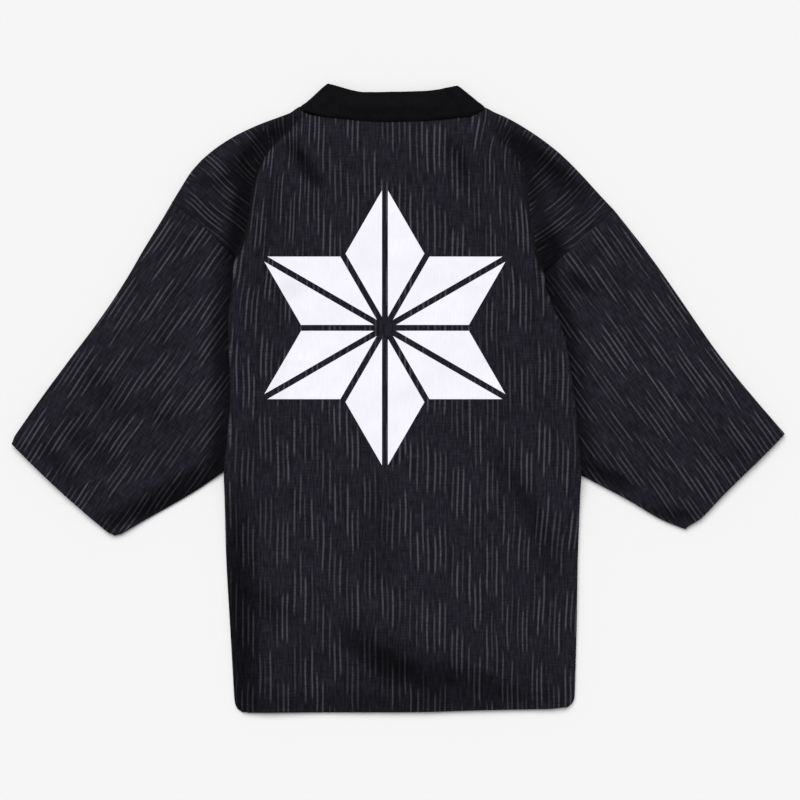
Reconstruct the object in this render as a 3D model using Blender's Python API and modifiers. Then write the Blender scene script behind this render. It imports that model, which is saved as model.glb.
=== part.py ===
"""A happi coat laid flat with its back up, as six pieces of cloth.

It lies on the plane z = 0, with the neck towards +Y and the hem towards -Y. The origin is on
that plane, under the middle of the coat's box. Left and right are the wearer's, and the coat
is seen from behind, so its left side is at -X.

The back panel lies on top. It rolls round the shoulders and the side edges and ends in a short
return on the floor, where it meets the two front panels. The sleeves hang at a slant, so the
back rises beside each armhole in one long soft fold that covers the end of the sleeve.

Tables are in millimetres, and each row is a section of the cloth.
"""

import math
from collections import namedtuple

import bmesh
import bpy
import numpy as np

MM = 0.001

# Driving sizes of the cloth, in millimetres
WALL = 3.0          # outer cloth, wadding and lining together
COLLAR_WALL = 4.0   # the collar band is folded double
LAYER_GAP = 1.5     # air between the top and the bottom layer
SEAM_GAP = 0.4      # between two pieces that are sewn together
RETURN = 8.0        # width of the back panel that shows underneath
HEM_CORNER = 19.0   # radius of the hem's rounded corners

# Levels of the middle of the wall
FLOOR_LAYER = WALL / 2
TOP_LAYER = FLOOR_LAYER + WALL + LAYER_GAP
OVER_SLEEVE = TOP_LAYER + WALL + 0.3    # what lies on the sleeve's top layer
EDGE_RADIUS = (TOP_LAYER - FLOOR_LAYER) / 2
COLLAR_FLOOR = COLLAR_WALL / 2
COLLAR_TOP = 8.0    # where the band folds over beside the neck
COLLAR_SAG = 1.3    # how much lower the band lies at the middle of the neck

# The back panel's rows, from the neck to the hem. "fold" is the armhole fold, which from row 5
# on is the panel's outline. "crest" is the level of its ridge, on the middle of the wall.
BackRow = namedtuple(
    "BackRow", "row fold_l_x fold_l_y middle_y fold_r_x fold_r_y crest_l crest_r"
)
BACK_ROWS = [
    BackRow(0, -118, 384.0, 375.5, 103, 384.5, 6.0, 6.0),
    BackRow(1, -145, 366.0, 355.0, 126, 367.0, 6.6, 6.4),
    BackRow(2, -171, 343.0, 330.0, 149, 343.5, 8.6, 8.0),
    BackRow(3, -192, 309.5, 295.0, 172, 308.0, 11.6, 10.8),
    BackRow(4, -211, 262.5, 251.5, 190, 255.5, 14.2, 13.6),
    BackRow(5, -233, 207.0, 198.5, 206, 193.0, 15.4, 15.4),
    BackRow(6, -232, 147.0, 144.0, 212, 144.0, 15.4, 15.6),
    BackRow(7, -234, 72.0, 72.0, 228, 78.0, 15.2, 15.4),
    BackRow(8, -235, -3.0, -2.0, 240, 4.0, 15.0, 15.2),
    BackRow(9, -236, -71.0, -71.0, 247, -71.0, 14.8, 15.0),
    BackRow(10, -236, -98.0, -100.0, 249, -103.0, 14.0, 14.2),
    BackRow(11, -235, -142.0, -142.0, 248, -142.0, 10.8, 10.8),
    BackRow(12, -233, -220.0, -220.0, 245, -220.0, 7.2, 7.4),
    BackRow(13, -229, -288.0, -288.0, 244, -288.0, 6.2, 6.4),
    BackRow(14, -225, -356.0, -356.0, 242.5, -356.0, 6.0, 6.0),
    BackRow(15, -221, -427.5, -426.5, 240.5, -421.0, 6.0, 6.0),
]

# The shoulder's outline on the first of those rows, down to the sleeve's seam, and the width of
# cloth that is turned under it.
ShoulderRow = namedtuple("ShoulderRow", "row left_x left_y right_x right_y under")
SHOULDER_ROWS = [
    ShoulderRow(0, -135, 391.0, 121, 391.0, 0.6),
    ShoulderRow(1, -160, 382.0, 143, 383.5, 8.0),
    ShoulderRow(2, -196, 368.5, 174, 366.5, 8.0),
    ShoulderRow(3, -236, 347.5, 212, 340.0, 8.0),
    ShoulderRow(4, -277, 313.5, 250, 305.0, 8.0),
    ShoulderRow(5, -307, 269.5, 285.5, 267.0, 8.0),
]
SEAM_ROW = 5.0        # the sleeve's seam, the last row that reaches the shoulder
CURLED_ROW = 5.6      # from here on the fold's edge is curled right under
ARMPIT_START = 10.05  # the curled edge starts to come down to the floor
ARMPIT_END = 11.0     # and lies on it

# A sleeve's outline: its folded top edge, from the cuff to the shoulder, its lower edge, from
# the cuff to the armpit, and its end inside the coat, from the shoulder to the armpit.
SleevePoint = namedtuple("SleevePoint", "x y")
SLEEVES = {
    "sleeve_left": {
        "top": [(-526, -60), (-487, -4), (-446, 52), (-405, 106), (-369, 160), (-338, 215), (-307, 269.5)],
        "low": [(-384, -190), (-345, -167), (-299, -141), (-256, -114), (-238.6, -100.5), (-220, -88)],
        "end": [(-307, 269.5), (-270, 238.2), (-241, 213.8), (-232, 209), (-222, 199), (-212, 172),
                (-209, 120), (-209, 52), (-210, -16), (-214, -60), (-220, -88)],
        "cuff_bulge": 3.0,
    },
    "sleeve_right": {
        "top": [(526, -48), (486, -2), (441, 53), (403, 107), (366, 161), (326, 216), (285.5, 267)],
        "low": [(397, -180), (361, -167), (318, -141), (293, -127.5), (269, -115), (251.5, -105.5), (233, -95.5)],
        "end": [(285.5, 267), (246, 230), (214.5, 201), (205, 196), (195, 186), (187, 157),
                (199, 92), (213, 25), (220, -30), (226, -68), (233, -95.5)],
        "cuff_bulge": 1.5,
    },
}

# The collar band, as the two ends of each section: on the neck seam, and on the free edge. Its
# back runs from the middle to where it folds over beside the neck, and its front from there to
# the hem.
BandRow = namedtuple("BandRow", "part seam_x seam_y free_x free_y")
COLLAR_MIDDLE = BandRow("back", -6, 376.5, -6, 414.0)
COLLAR = {
    "left": [
        BandRow("back", -40, 377.4, -27, 414.4),
        BandRow("back", -72, 380.0, -47, 416.8),
        BandRow("back", -100, 384.2, -68, 420.6),
        BandRow("back", -118, 388.2, -81, 422.6),
        BandRow("back", -129.6, 391.6, -91.6, 423.2),
        BandRow("front", -124.2, 383.6, -88.0, 414.0),
        BandRow("front", -117, 368.0, -81.0, 383.0),
        BandRow("front", -107, 325.0, -70.0, 338.0),
        BandRow("front", -88, 262.0, -47.0, 275.0),
        BandRow("front", -65, 202.0, -24.0, 213.0),
        BandRow("front", -50.5, 148.0, -9.0, 150.0),
        BandRow("front", -49.0, 90.0, -8.0, 90.0),
    ],
    "right": [
        BandRow("back", 28, 377.4, 20, 414.4),
        BandRow("back", 56, 379.6, 36, 416.6),
        BandRow("back", 84, 383.6, 54, 419.2),
        BandRow("back", 103, 388.4, 67.5, 420.8),
        BandRow("back", 115.6, 392.0, 78.4, 421.4),
        BandRow("front", 109.2, 383.6, 73.0, 411.6),
        BandRow("front", 102, 368.0, 66.0, 381.0),
        BandRow("front", 92, 325.0, 55.0, 338.0),
        BandRow("front", 75, 262.0, 34.0, 275.0),
        BandRow("front", 52, 202.0, 11.0, 213.0),
        BandRow("front", 38.5, 148.0, -3.0, 150.0),
        BandRow("front", 37.0, 90.0, -4.0, 90.0),
    ],
}
HEM_Y = {"left": -425.0, "right": -420.0}
FRONT_STEPS = 9       # sections of the band between its last row and the hem


def smooth_table(knots, values, at):
    """A smooth curve through a table's values, for each wanted place between its knots."""
    knots, values = np.array(knots, float), np.array(values, float)
    slopes = np.gradient(values, knots)
    i = np.clip(np.searchsorted(knots, at, side="right") - 1, 0, len(knots) - 2)
    span = knots[i + 1] - knots[i]
    t = (at - knots[i]) / span
    return (
        (2 * t**3 - 3 * t**2 + 1) * values[i]
        + (t**3 - 2 * t**2 + t) * span * slopes[i]
        + (3 * t**2 - 2 * t**3) * values[i + 1]
        + (t**3 - t**2) * span * slopes[i + 1]
    )


def ease(t):
    """0 to 1 with level ends, for t from 0 to 1."""
    t = min(1.0, max(0.0, t))
    return t * t * (3 - 2 * t)


def unit(vector):
    return vector / np.linalg.norm(vector)


def loft(name, rows, wall, collection):
    """A wall of cloth through rows of points on its middle. A row may be shorter than the one
    before it at both ends: each row is a pair, its first column and its points."""
    bm = bmesh.new()
    made = [{c + k: bm.verts.new(p * MM) for k, p in enumerate(points)} for c, points in rows]
    for above, below in zip(made, made[1:]):
        for c in sorted(set(above) & set(below)):
            if c + 1 in above and c + 1 in below:
                bm.faces.new((above[c], below[c], below[c + 1], above[c + 1]))
    mesh = bpy.data.meshes.new(name)
    bm.to_mesh(mesh)
    bm.free()
    mesh.shade_smooth()
    piece = bpy.data.objects.new(name, mesh)
    collection.objects.link(piece)
    solidify = piece.modifiers.new("wall", "SOLIDIFY")
    solidify.thickness = wall * MM
    solidify.offset = 0
    solidify.use_even_offset = True
    solidify.use_quality_normals = True
    return piece


def edge_turn(low, high, under=RETURN, curl=180, foot=WALL / 2):
    """Distances inside the outline, and levels, round an edge that is curled down from the high
    layer by an angle, and then runs straight to the low one."""
    curl = math.radians(curl)
    radius = (high - low - under * math.sin(curl)) / (1 - math.cos(curl))
    ends = np.array([under * math.cos(curl), under * math.sin(curl)])
    points = []
    for angle in np.linspace(curl, 0, 5):
        points.append((-radius * math.sin(angle), high - radius * (1 - math.cos(angle))))
    points.insert(0, (points[0][0] - ends[0], points[0][1] - ends[1]))
    points = np.array(points)
    points[:, 0] += foot - points[:, 0].min()
    return points


# The back panel ------------------------------------------------------------------------------

BACK_ROWS_AT = [0, 0.3, 0.7, 1.2, 1.7, 2.2, 2.7, 3.2, 3.7, 4.2, 4.6, 5, 5.12, 5.25, 5.4, 5.6, 6, 6.4, 6.9, 7.4,
           7.9, 8.4, 8.9, 9.3, 9.7, 10.05, 10.2, 10.36, 10.52, 10.68, 10.84, 11, 11.4, 11.9, 12.5, 13.1, 13.7, 14.3]
HEM_CORNER_AT = [0, 20, 40, 60]             # the last rows, by their place round the hem's corner
RIDGE_INSIDE = [12, 19, 28, 40, 55]         # columns inside the fold, where its ridge falls away
MIDDLE_COLUMNS = 5                          # and from there to the middle
CAP_SHARES = [0.3, 0.62, 0.77, 0.9]         # columns from the shoulder's edge to the fold
RIDGE_FLAT, RIDGE_WIDTH = 8.0, 58.0


def table_row(table, at):
    """A table at any place between its rows, as a dict of its columns."""
    knots = [r.row for r in table]
    return {
        column: float(smooth_table(knots, [getattr(r, column) for r in table], at))
        for column in table[0]._fields
    }


def fold_profile(at, crest):
    """The fold's edge, as distances inside its outline and levels. Above the sleeve's seam it
    is the bank of a trough, and below it a curled edge that lies on the sleeve."""
    if at <= SEAM_ROW:
        share = ease(at - SEAM_ROW + 1)
        trough = TOP_LAYER + (OVER_SLEEVE - TOP_LAYER) * share
        inside = np.array([0, 1.6, 3.4, 5.2, 7.2, 9.6])
        bank = [trough + (crest - trough) * ease(d / inside[-1]) for d in inside]
        bank = np.column_stack([inside, bank])
        if share == 0:
            return bank
        return (1 - share) * bank + share * edge_turn(trough, crest, 2.5, 60, 0)
    down = ease((at - ARMPIT_START) / (ARMPIT_END - ARMPIT_START))
    low = OVER_SLEEVE + (FLOOR_LAYER - OVER_SLEEVE) * down
    share = min(1, (at - SEAM_ROW) / (CURLED_ROW - SEAM_ROW))
    under = 2.5 + (RETURN - 2.5) * share**4
    return edge_turn(low, crest, under, 60 + 120 * share, WALL / 2 * min(1, 3 * share))


def back_half(at, side, corner):
    """One half of a row, from the outermost point to the middle, and how many of its points are
    in the cap over the shoulder."""
    row = table_row(BACK_ROWS, at)
    letter, inward = ("l", 1) if side == "left" else ("r", -1)
    fold = np.array([row[f"fold_{letter}_x"] + inward * corner, row[f"fold_{letter}_y"]])
    crest = max(row[f"crest_{letter}"], TOP_LAYER)
    width = abs(COLLAR_MIDDLE.seam_x - fold[0])

    def on_row(inside, level):
        sweep = 1 - (1 - inside / width) ** 2
        y = fold[1] + (row["middle_y"] - fold[1]) * sweep
        return np.array([fold[0] + inward * inside, y, level])

    points = [on_row(inside, level) for inside, level in fold_profile(at, crest)]
    rest = np.linspace(RIDGE_INSIDE[-1], width, MIDDLE_COLUMNS + 1)[1:]
    for inside in [*RIDGE_INSIDE, *rest]:
        fall = ease((inside - RIDGE_FLAT) / (RIDGE_WIDTH - RIDGE_FLAT))
        points.append(on_row(inside, crest + (TOP_LAYER - crest) * fall))
    if at > SEAM_ROW:
        return points, 0
    shoulder = table_row(SHOULDER_ROWS, at)
    edge = np.array([shoulder[f"{side}_x"], shoulder[f"{side}_y"]])
    across = unit(fold - edge)
    turn = edge_turn(FLOOR_LAYER, TOP_LAYER, shoulder["under"])
    cap = [np.array([*(edge + across * inside), level]) for inside, level in turn]
    start, end = cap[-1], points[0]
    for share in CAP_SHARES:
        level = TOP_LAYER + (end[2] - TOP_LAYER) * ease((share - 0.62) / 0.28)
        cap.append(np.array([*(start[:2] + (end[:2] - start[:2]) * share), level]))
    return cap + points, len(cap)


def back_rows():
    """All the rows of the back panel, each as its place in the table and its two halves."""
    fine = np.linspace(BACK_ROWS[-2].row, BACK_ROWS[-1].row, 200)
    middle = smooth_table([r.row for r in BACK_ROWS], [r.middle_y for r in BACK_ROWS], fine)
    places = [(at, 0.0) for at in BACK_ROWS_AT]
    for degrees in HEM_CORNER_AT:
        angle = math.radians(degrees)
        height = HEM_CORNER * (math.sin(math.radians(HEM_CORNER_AT[-1])) - math.sin(angle))
        at = float(np.interp(-(middle[-1] + height), -middle, fine))
        places.append((at, HEM_CORNER * (1 - math.cos(angle))))
    return [(at, back_half(at, "left", c), back_half(at, "right", c)) for at, c in places]


def make_back(collection):
    rows = [
        (-cap, left + right[::-1][1:]) for _, (left, cap), (right, _) in back_rows()
    ]
    return loft("back", rows, WALL, collection)


# The sleeves -----------------------------------------------------------------------------------

SLEEVE_RINGS = [0, 0.015, 0.05, 0.14, 0.25, 0.36, 0.48, 0.6, 0.72, 0.82, 0.9, 0.96, 1]
SLEEVE_CROWN = 2.2    # how much fuller the sleeve is at its middle
SLEEVE_FLAT = 0.88    # from here on it lies flat, under the fold


def shares_of(points):
    """How far along the line each of its points is, from 0 to 1."""
    steps = np.linalg.norm(np.diff(np.array(points, float), axis=0), axis=1)
    return np.concatenate([[0], np.cumsum(steps)]) / steps.sum()


def curve(points, at):
    """A point on a smooth curve through the given ones, by its share of the length."""
    knots, points = shares_of(points), np.array(points, float)
    return np.array([float(smooth_table(knots, points[:, k], at)) for k in range(2)])


def sleeve_across(shape):
    """The places across the sleeve that a section has points at."""
    knots = list(shares_of(shape["end"]))
    halves = [(a + b) / 2 for a, b in zip(knots, knots[1:]) if b - a > 0.13]
    return sorted([*knots, *halves, 0.04])


def sleeve_plan(shape, u, v):
    """A point of the sleeve seen from above: u runs from the cuff to the end inside the coat,
    and v from the top edge to the lower one."""
    top, low, end = (lambda t, n=n: curve(shape[n], t) for n in ("top", "low", "end"))
    first, last = top(0), low(0)
    out = unit(np.array([-(last - first)[1], (last - first)[0]]))
    out = out if np.dot(out, top(0) - top(0.2)) > 0 else -out

    def cuff(t):
        return first + (last - first) * t + out * shape["cuff_bulge"] * 4 * t * (1 - t)

    corners = (
        (1 - u) * (1 - v) * first + (1 - u) * v * last + u * (1 - v) * end(0) + u * v * end(1)
    )
    return (1 - u) * cuff(v) + u * end(v) + (1 - v) * top(u) + v * low(u) - corners


def sleeve_ring(shape, u):
    """One closed section of the sleeve: its top layer, the turn at its lower edge, its bottom
    layer and the turn at its top edge."""
    reach = EDGE_RADIUS + WALL / 2
    ends = []
    for v, step in ((0.0, 0.01), (1.0, -0.01)):
        place = sleeve_plan(shape, u, v)
        inward = unit(sleeve_plan(shape, u, v + step) - place)
        ends.append((place, inward))
    length = np.linalg.norm(ends[0][0] - ends[1][0])
    fuller = SLEEVE_CROWN * ease((SLEEVE_FLAT - u) / 0.4) * (0.6 + 0.4 * ease(u / 0.4))
    across = sleeve_across(shape)
    plan = [sleeve_plan(shape, u, reach / length + v * (1 - 2 * reach / length)) for v in across]
    plan[0] = ends[0][0] + ends[0][1] * reach
    plan[-1] = ends[1][0] + ends[1][1] * reach
    ring = []
    for v, p in zip(across, plan):
        ring.append(np.array([*p, TOP_LAYER + fuller * math.sin(math.pi * v)]))
    for degrees in (45, 0, -45):
        angle = math.radians(degrees)
        spot = plan[-1] - ends[1][1] * EDGE_RADIUS * math.cos(angle)
        ring.append(np.array([*spot, FLOOR_LAYER + EDGE_RADIUS * (1 + math.sin(angle))]))
    for p in reversed(plan):
        ring.append(np.array([*p, FLOOR_LAYER]))
    for degrees in (-45, 0, 45):
        angle = math.radians(degrees)
        spot = plan[0] - ends[0][1] * EDGE_RADIUS * math.cos(angle)
        ring.append(np.array([*spot, FLOOR_LAYER + EDGE_RADIUS * (1 + math.sin(angle))]))
    return ring + ring[:1]


def make_sleeve(name, collection):
    shape = SLEEVES[name]
    rows = [(0, sleeve_ring(shape, u)) for u in SLEEVE_RINGS]
    # the end is drawn back from the seam line, along the sleeve
    before, last = rows[-2][1], rows[-1][1]
    rows[-1] = (0, [p + 1.5 * SEAM_GAP * unit(q - p) for p, q in zip(last, before)])
    piece = loft(name, rows, WALL, collection)
    weld = piece.modifiers.new("closed ring", "WELD")
    weld.merge_threshold = 0.00005
    piece.modifiers.move(1, 0)
    return piece


# The collar --------------------------------------------------------------------------------------

def make_collar(collection):
    def section(row, level):
        ends = np.array([row.seam_x, row.seam_y]), np.array([row.free_x, row.free_y])
        return [np.array([*(ends[0] + (ends[1] - ends[0]) * s), level]) for s in (0, 0.5, 1)]

    def half(side):
        rows = [COLLAR_MIDDLE] + [r for r in COLLAR[side] if r.part == "back"]
        made = []
        for k, row in enumerate(rows):
            share = ease(k / (len(rows) - 1))
            made.append(section(row, COLLAR_TOP - COLLAR_SAG * (1 - share)))
        turn = rows[-1]
        line = unit(np.array([turn.free_x - turn.seam_x, turn.free_y - turn.seam_y]))
        out = np.array([-line[1], line[0]])
        out = out if out[0] * turn.seam_x > 0 else -out
        radius = (COLLAR_TOP - COLLAR_FLOOR) / 2
        for degrees in (60, 30, 0, -30, -60, -90):
            angle = math.radians(degrees)
            shift = np.array([*(out * radius * math.cos(angle)), radius * (math.sin(angle) - 1)])
            made.append([p + shift for p in section(turn, COLLAR_TOP)])
        fronts = [r for r in COLLAR[side] if r.part == "front"]
        made += [section(r, COLLAR_FLOOR) for r in fronts]
        last = fronts[-1]
        for k in range(1, FRONT_STEPS + 1):
            y = last.seam_y + (HEM_Y[side] - last.seam_y) * k / FRONT_STEPS
            made.append(section(last._replace(seam_y=y, free_y=y), COLLAR_FLOOR))
        return made

    left, right = half("left"), half("right")
    rows = [(0, r) for r in left[::-1] + right[1:]]
    return loft("collar", rows, COLLAR_WALL, collection)


# The front panels --------------------------------------------------------------------------------

def set_off(line, gap):
    """The plan line moved sideways by the gap, to its left as it runs."""
    along = np.gradient(line, axis=0)
    along /= np.linalg.norm(along, axis=1)[:, None]
    return line + gap * np.column_stack([-along[:, 1], along[:, 0]])


def front_outline(side):
    """The front's outer side from the neck to the hem: along the back's return over the
    shoulder, along the sleeve's end, and along the back's return again."""
    half = 1 if side == "left" else 2
    returns = [(row[0], row[half][0][0][:2]) for row in back_rows()]
    shoulder = np.array([p for at, p in returns if at <= SEAM_ROW])
    body = []
    for at, spot in returns:
        if at > ARMPIT_START:
            below = (at - ARMPIT_START) / (ARMPIT_END - ARMPIT_START) < 0.3
            row = table_row(BACK_ROWS, at)
            letter = side[0]
            edge = np.array([row[f"fold_{letter}_x"], row[f"fold_{letter}_y"]])
            inward = 1 if side == "left" else -1
            body.append(edge + [inward * 2, 0] if below else spot)
    body = np.array(body)
    shape = SLEEVES[f"sleeve_{side}"]
    sleeve = np.array([p[:2] for p in sleeve_ring(shape, 1.0)])
    count = len(sleeve_across(shape))
    bottom = sleeve[count + 3 : 2 * count + 3][::-1]
    corner = np.array(shape["low"][-1]) - [0, 2]
    hidden = bottom[(bottom[:, 1] < shoulder[-1, 1] - 3) & (bottom[:, 1] > corner[1] + 1)]
    hidden = np.vstack([hidden, corner])
    sign = 1 if side == "left" else -1
    return np.vstack([set_off(part, sign * SEAM_GAP) for part in (shoulder, hidden, body)])


def make_front(side, collection):
    outer = front_outline(side)
    band = np.array([
        (r.seam_x, r.seam_y) for r in COLLAR[side] if r.part == "front"
    ] + [(COLLAR[side][-1].seam_x, HEM_Y[side])])
    sign = 1 if side == "left" else -1
    inner = set_off(band, -sign * SEAM_GAP)
    levels = np.unique(np.concatenate([outer[2:, 1], inner[:, 1], [HEM_Y[side] + 1]]))[::-1]
    levels = levels[(levels < inner[0, 1] - 8) & (levels > HEM_Y[side])]
    keep = [levels[0]]
    for y in levels[1:]:
        if keep[-1] - y > 0.5:
            keep.append(y)
    rows = []
    for y in keep:
        ends = [np.interp(-y, -line[:, 1], line[:, 0]) for line in (outer, inner)]
        rows.append((0, [np.array([x, y, FLOOR_LAYER]) for x in np.linspace(*ends, 4)]))
    return loft(f"front_{side}", rows, WALL, collection)


# Finishes ----------------------------------------------------------------------------------------

def cloth(name, colour, roughness):
    material = bpy.data.materials.new(name)
    material.use_nodes = True
    shader = material.node_tree.nodes["Principled BSDF"]
    shader.inputs["Base Color"].default_value = (*colour, 1)
    shader.inputs["Roughness"].default_value = roughness
    shader.inputs["Metallic"].default_value = 0
    return material


def main():
    for old in list(bpy.data.objects):
        bpy.data.objects.remove(old, do_unlink=True)
    coat = bpy.data.collections.new("happi_coat")
    bpy.context.scene.collection.children.link(coat)
    striped = cloth("striped_cotton", (0.017, 0.016, 0.021), 0.9)
    plain = cloth("black_cotton", (0.006, 0.006, 0.007), 0.85)
    pieces = [
        make_back(coat),
        make_front("left", coat),
        make_front("right", coat),
        make_sleeve("sleeve_left", coat),
        make_sleeve("sleeve_right", coat),
    ]
    for piece in pieces:
        piece.data.materials.append(striped)
    make_collar(coat).data.materials.append(plain)


main()
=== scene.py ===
"""The looks of a happi coat laid flat with its back up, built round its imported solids.

The coat lies on z = 0 in its own frame, with the neck towards +Y and its left side, as worn, at
-X. Meshes, lamps and camera are in metres. The tables of places and heights, and the functions
that shape the cloth by them, are in millimetres, as a tailor would measure them.
"""

import math
from collections import namedtuple

import bpy
import numpy as np
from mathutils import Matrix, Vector, kdtree, noise


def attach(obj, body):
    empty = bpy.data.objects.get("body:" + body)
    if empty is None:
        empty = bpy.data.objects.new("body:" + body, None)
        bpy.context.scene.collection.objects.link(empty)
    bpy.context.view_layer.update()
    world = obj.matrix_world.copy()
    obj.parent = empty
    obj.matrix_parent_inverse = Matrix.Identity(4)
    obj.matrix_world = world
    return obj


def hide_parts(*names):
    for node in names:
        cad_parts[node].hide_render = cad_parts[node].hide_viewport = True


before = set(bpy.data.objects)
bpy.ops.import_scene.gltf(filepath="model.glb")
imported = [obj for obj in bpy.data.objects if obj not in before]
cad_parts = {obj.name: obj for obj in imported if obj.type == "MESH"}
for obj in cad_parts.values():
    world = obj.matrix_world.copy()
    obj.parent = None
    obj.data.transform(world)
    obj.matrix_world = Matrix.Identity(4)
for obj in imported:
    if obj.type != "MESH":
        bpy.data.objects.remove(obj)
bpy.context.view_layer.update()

# The back panel -------------------------------------------------------
# One length of striped cotton over thin wadding. It carries on over both shoulders and the side
# edges, and stands up beside each armhole in a long soft fold.

MM = 0.001
WELD = 0.01 * MM  # points closer than this are one
LONGEST_FACE = 24 * MM  # the solid's larger faces are split down to this before rounding
BACK_FACE = 26 * MM  # and the back's, the largest piece of all, to this
SPLITS = 4  # rounds of halving that this takes
CORNER = math.radians(58)  # an edge that turns by more than this is a cut edge of the wall
RIM_CREASE = 0.55  # how firmly the cut edges keep their corners


def select_only(*pieces):
    """Selects these objects alone, and makes the first of them the active one."""
    bpy.ops.object.select_all(action="DESELECT")
    for piece in pieces:
        piece.select_set(True)
    bpy.context.view_layer.objects.active = pieces[0]


def cloth_on(node, name, longest=LONGEST_FACE):
    """A copy of a node's solid in quads, at most that long, rounded into a fine skin of cloth."""
    piece = bpy.data.objects.new(name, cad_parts[node].data.copy())
    bpy.context.scene.collection.objects.link(piece)
    piece.data.materials.clear()
    while piece.data.uv_layers:
        piece.data.uv_layers.remove(piece.data.uv_layers[0])
    select_only(piece)
    bpy.ops.mesh.customdata_custom_splitnormals_clear()
    bpy.ops.object.mode_set(mode="EDIT")
    bpy.ops.mesh.select_mode(type="EDGE")
    bpy.ops.mesh.select_all(action="SELECT")
    bpy.ops.mesh.remove_doubles(threshold=WELD)
    bpy.ops.mesh.tris_convert_to_quads(
        face_threshold=math.radians(50), shape_threshold=math.radians(70)
    )
    for _ in range(SPLITS):
        bpy.ops.mesh.select_all(action="DESELECT")
        bpy.ops.object.mode_set(mode="OBJECT")
        points = [v.co for v in piece.data.vertices]
        for edge in piece.data.edges:
            a, b = edge.vertices
            edge.select = (points[a] - points[b]).length > longest
        bpy.ops.object.mode_set(mode="EDIT")
        bpy.ops.mesh.subdivide(number_cuts=1)
    bpy.ops.mesh.select_all(action="DESELECT")
    bpy.ops.mesh.edges_select_sharp(sharpness=CORNER)
    bpy.ops.object.mode_set(mode="OBJECT")
    rim = piece.data.attributes.new("crease_edge", "FLOAT", "EDGE")
    rim.data.foreach_set("value", [RIM_CREASE if edge.select else 0.0 for edge in piece.data.edges])
    rounding = piece.modifiers.new("rounding", "SUBSURF")
    rounding.levels = rounding.render_levels = 2
    bpy.ops.object.modifier_apply(modifier=rounding.name)
    bpy.ops.object.shade_smooth()
    return piece


def points_of(piece):
    """The piece's points in millimetres, and how far each faces up, from -1 to 1."""
    count = len(piece.data.vertices)
    points, normals = np.empty(count * 3), np.empty(count * 3)
    piece.data.vertices.foreach_get("co", points)
    piece.data.vertices.foreach_get("normal", normals)
    return points.reshape(-1, 3) / MM, normals.reshape(-1, 3)[:, 2]


def place_points(piece, points):
    """Moves the piece's points to these places, in millimetres."""
    piece.data.vertices.foreach_set("co", (points * MM).ravel())
    piece.data.update()


def ease(t):
    """Goes smoothly from 0 to 1 as t does."""
    t = np.clip(t, 0.0, 1.0)
    return t * t * (3 - 2 * t)


def smooth_line(line, steps=12):
    """A curve through the given points, as closely spaced ones."""
    line = np.array(line, float)
    knots = np.concatenate([[0], np.cumsum(np.linalg.norm(np.diff(line, axis=0), axis=1))])
    slopes = np.gradient(line, knots, axis=0)
    curve = []
    for a in range(len(line) - 1):
        span = knots[a + 1] - knots[a]
        for t in np.linspace(0, 1, steps, endpoint=a == len(line) - 2):
            curve.append(
                (2 * t**3 - 3 * t**2 + 1) * line[a]
                + (t**3 - 2 * t**2 + t) * span * slopes[a]
                + (3 * t**2 - 2 * t**3) * line[a + 1]
                + (t**3 - t**2) * span * slopes[a + 1]
            )
    return np.array(curve)


def beside(plan, curve):
    """For each point of the plan: how far it is from the curve, whether it's on its left, and
    how far along the curve it is, from 0 to 1."""
    start, along = curve[:-1], np.diff(curve, axis=0)
    length = np.linalg.norm(along, axis=1)
    done = np.concatenate([[0], np.cumsum(length)[:-1]])
    to = plan[:, None, :] - start[None]
    share = np.clip((to * along).sum(2) / length**2, 0, 1)
    off = to - share[..., None] * along
    gap = np.linalg.norm(off, axis=2)
    closest = gap.argmin(1)
    rows = np.arange(len(plan))
    off = off[rows, closest]
    on_left = along[closest, 0] * off[:, 1] > along[closest, 1] * off[:, 0]
    run = (done[closest] + share[rows, closest] * length[closest]) / length.sum()
    return gap[rows, closest], on_left, run


# A crease in the cloth: its line in plan, how far it rises or, below 0, sinks, and how wide it is
# to the left and to the right of that line as it runs.
Crease = namedtuple("Crease", "line rise left right")
CREASE_END = 0.8  # how bluntly a crease ends: at 0 it would stop dead


def crease_height(plan, crease):
    """How much a crease lifts each point of the plan. It dies away at both of its ends."""
    curve = smooth_line(crease.line)
    reach = max(crease.left, crease.right)
    near = np.all((plan > curve.min(0) - reach) & (plan < curve.max(0) + reach), axis=1)
    height = np.zeros(len(plan))
    if near.any():
        gap, on_left, run = beside(plan[near], curve)
        across = np.clip(1 - (gap / np.where(on_left, crease.left, crease.right)) ** 2, 0, 1) ** 2
        fading = np.sin(math.pi * np.clip(run, 0, 1)).clip(0, 1) ** CREASE_END
        height[near] = crease.rise * across * fading
    return height


def unevenness(plan, size, rise, seed):
    """Soft random lumps, as wadding gives, of that size in plan."""
    return rise * np.array([noise.noise(Vector((x / size, y / size, seed))) for x, y in plan])


UPPER_LAYER = (3.0, 4.3)  # the relief grows in between these levels and stays off the floor layer
PUFF = 4.4  # how far the wadding lifts the upper layer
PUFF_WIDTH = 32.0  # at this distance from its edges
DEEPEST_INSIDE = 1.1  # how far the upper layer's inner face can sink before it meets the lower
DEEPEST = 2.0  # and its outer face, where the wadding is pressed thin
TURNING = 0.35  # the cloth turns over an edge where it faces up by less than this


def edge_distance(points, facing):
    """How far each point is, in plan, from where the upper layer ends or turns over."""
    rim = points[(np.abs(facing) < TURNING) & (points[:, 2] > UPPER_LAYER[0])]
    tree = kdtree.KDTree(len(rim))
    for k, (x, y, _) in enumerate(rim):
        tree.insert((x, y, 0), k)
    tree.balance()
    return np.array([tree.find((x, y, 0))[2] for x, y, _ in points])


FULL_SHADE_DEPTH = 4.0  # a trough this deep gets the full painted shade
FULL_LIGHT_HEIGHT = 26.0  # and a ridge this high would get the full painted light


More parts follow.
